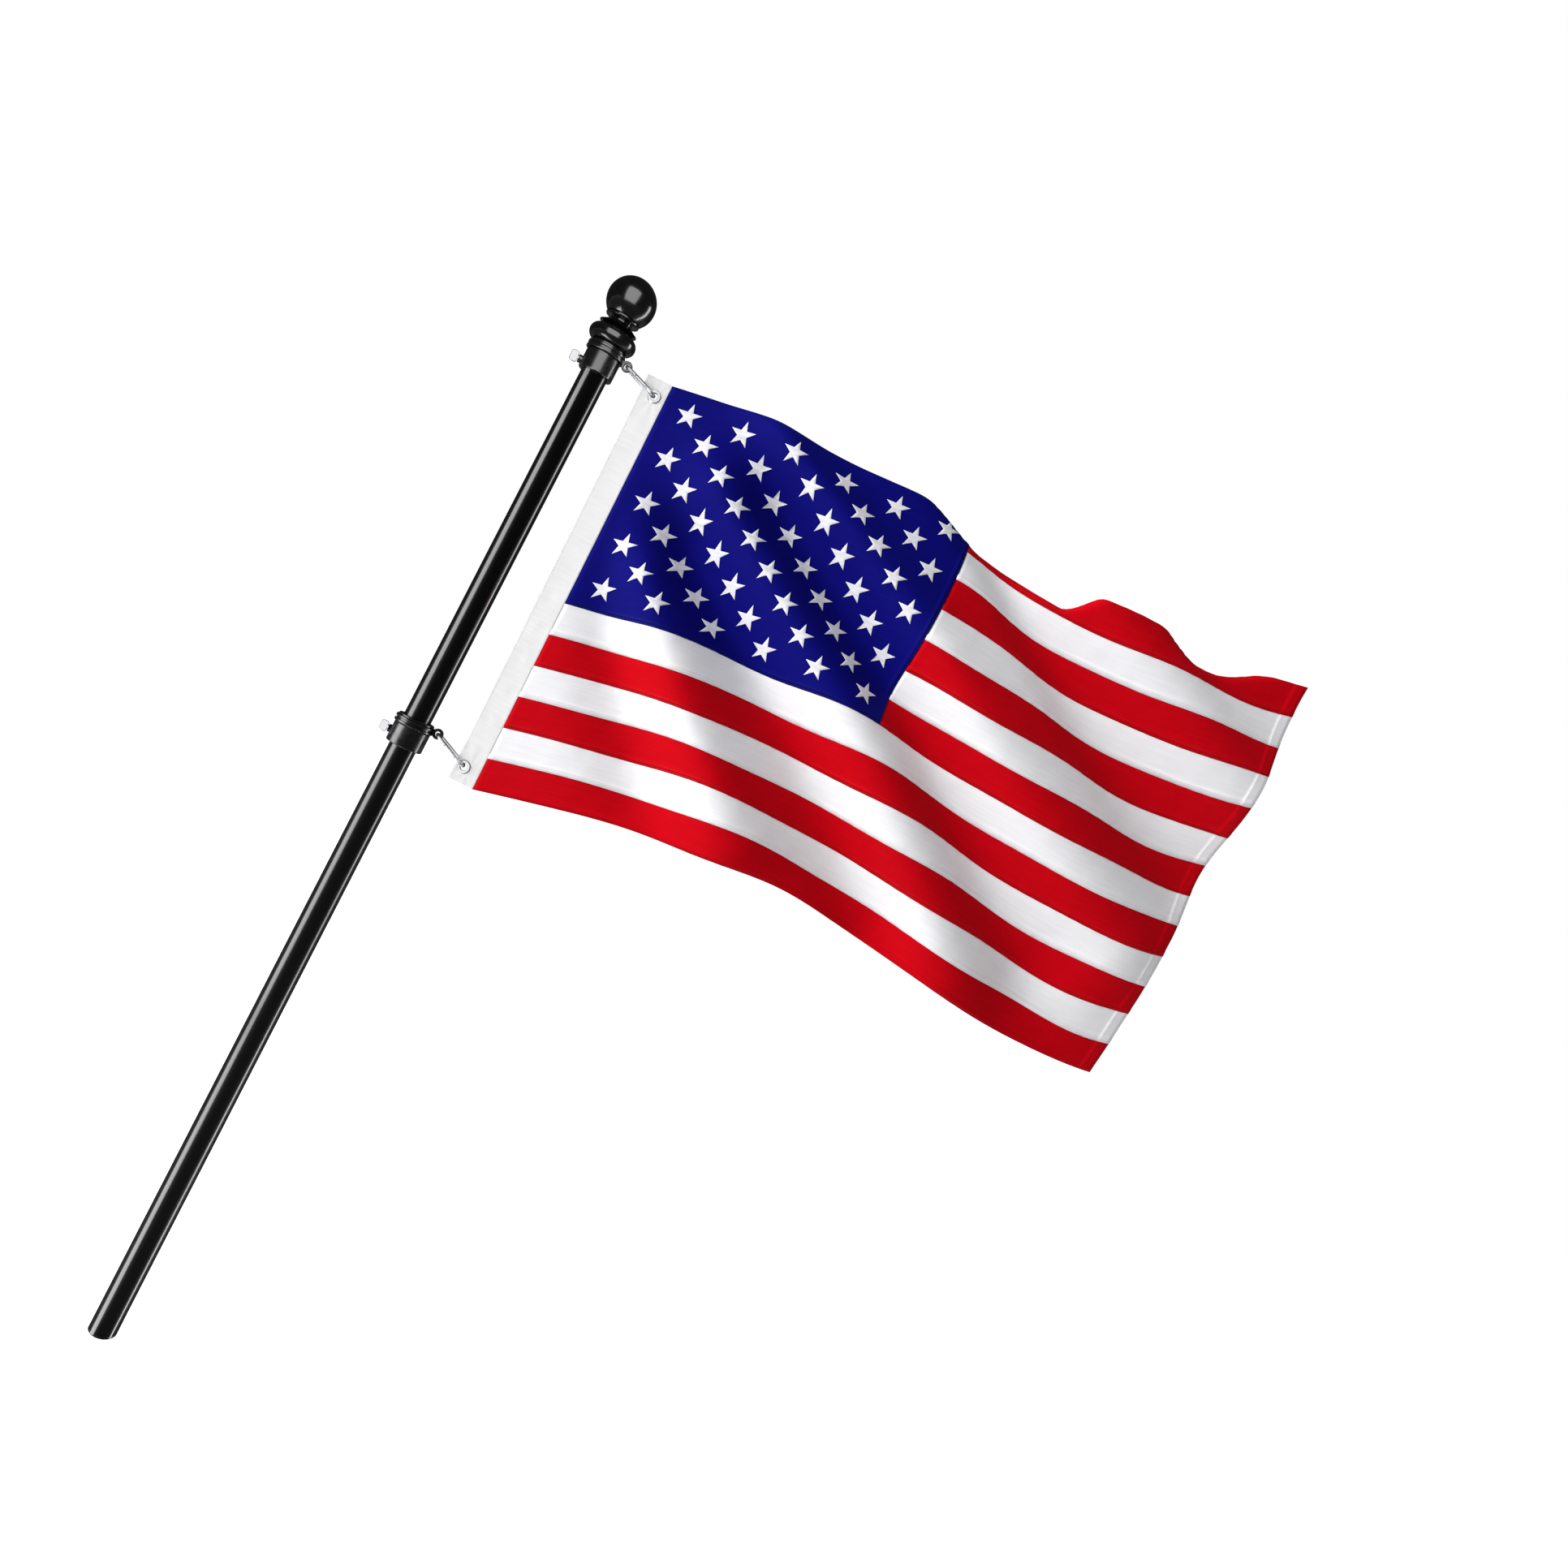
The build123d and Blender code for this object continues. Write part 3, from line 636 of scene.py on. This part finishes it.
# Stitching. Lockstitch in soft thread of each strip's own colour: two rows to each felled seam
# and to the fly hem, and one down each side of the header. The stitches show on both faces.
stitch_pitch = 3.2
stitch_w = 0.75
stitch_waist = 0.4  # its width at the ends, as a share
stitch_rise = 0.3
stitch_sunk = 0.06
seam_rows = (1.1, 4.0)  # insets of the rows from the edge that each holds down
hem_rows = (1.2, fly_hem - 1.5)
header_rows = (header_fold, header_w - 2.0)


def stitch_row(build, start, end, base):
    """A row of stitches from one flat place to another, on both faces of the cloth."""
    run = Vector(end) - Vector(start)
    count = max(1, round(run.length / stitch_pitch))
    side = Vector((-run.y, run.x)) / run.length * stitch_w
    for face_side in (1, -1):
        verts = bmesh.ops.create_grid(build, x_segments=4 * count, y_segments=2, size=0.5)["verts"]
        for vert in verts:
            share, across = vert.co.x + 0.5, vert.co.y
            swell = abs(sin(pi * count * share)) ** 0.5
            place = Vector(start) + run * share + side * across * face_side * (
                stitch_waist + (1 - stitch_waist) * swell)
            proud = stitch_rise * swell * (1 - (2 * across) ** 2) - stitch_sunk
            vert.co = (place.x, place.y, (base + proud) * face_side)


on_seam = cloth_t / 2 + seam_rise
on_hem = cloth_t / 2 + hem_rise
sewn = {dye: bmesh.new() for dye in ("white", "red", "blue")}
for number in range(1, stripe_count + 1):
    dye = "red" if number % 2 else "white"
    top, bottom = -(number - 1) * stripe_w, -number * stripe_w
    start = canton_fly if number <= canton_stripes else 0.0
    for inset in seam_rows:
        if number < stripe_count:
            stitch_row(sewn[dye], (start, bottom + inset), (fly, bottom + inset), on_seam)
    for inset in hem_rows:
        stitch_row(sewn[dye], (fly - inset, bottom + 0.5), (fly - inset, top - 0.5), on_hem)
for inset in seam_rows:
    side, foot = canton_fly - inset, canton_foot + inset
    stitch_row(sewn["blue"], (side, foot), (side, -1), on_seam)
    stitch_row(sewn["blue"], (0, foot), (side, foot), on_seam)
for inset in header_rows:
    stitch_row(sewn["white"], (-inset, -hoist + 1), (-inset, -1), header_t / 2)
for dye, hex_value, shade_hex in (("white", 0xEAEAEC, 0xDEDEE2), ("red", 0xC20012, 0xA8000C),
                                  ("blue", 0x05056C, 0x030356)):
    thread = woven(dye + " sewing thread", hex_value, shade_hex, 0.9, 0.05, roughness=0.6)
    stitches = lay(sewn[dye], dye + "_stitches", thread)

for number, stripe in enumerate(stripes, 1):
    length = fly - canton_fly if number <= canton_stripes else fly
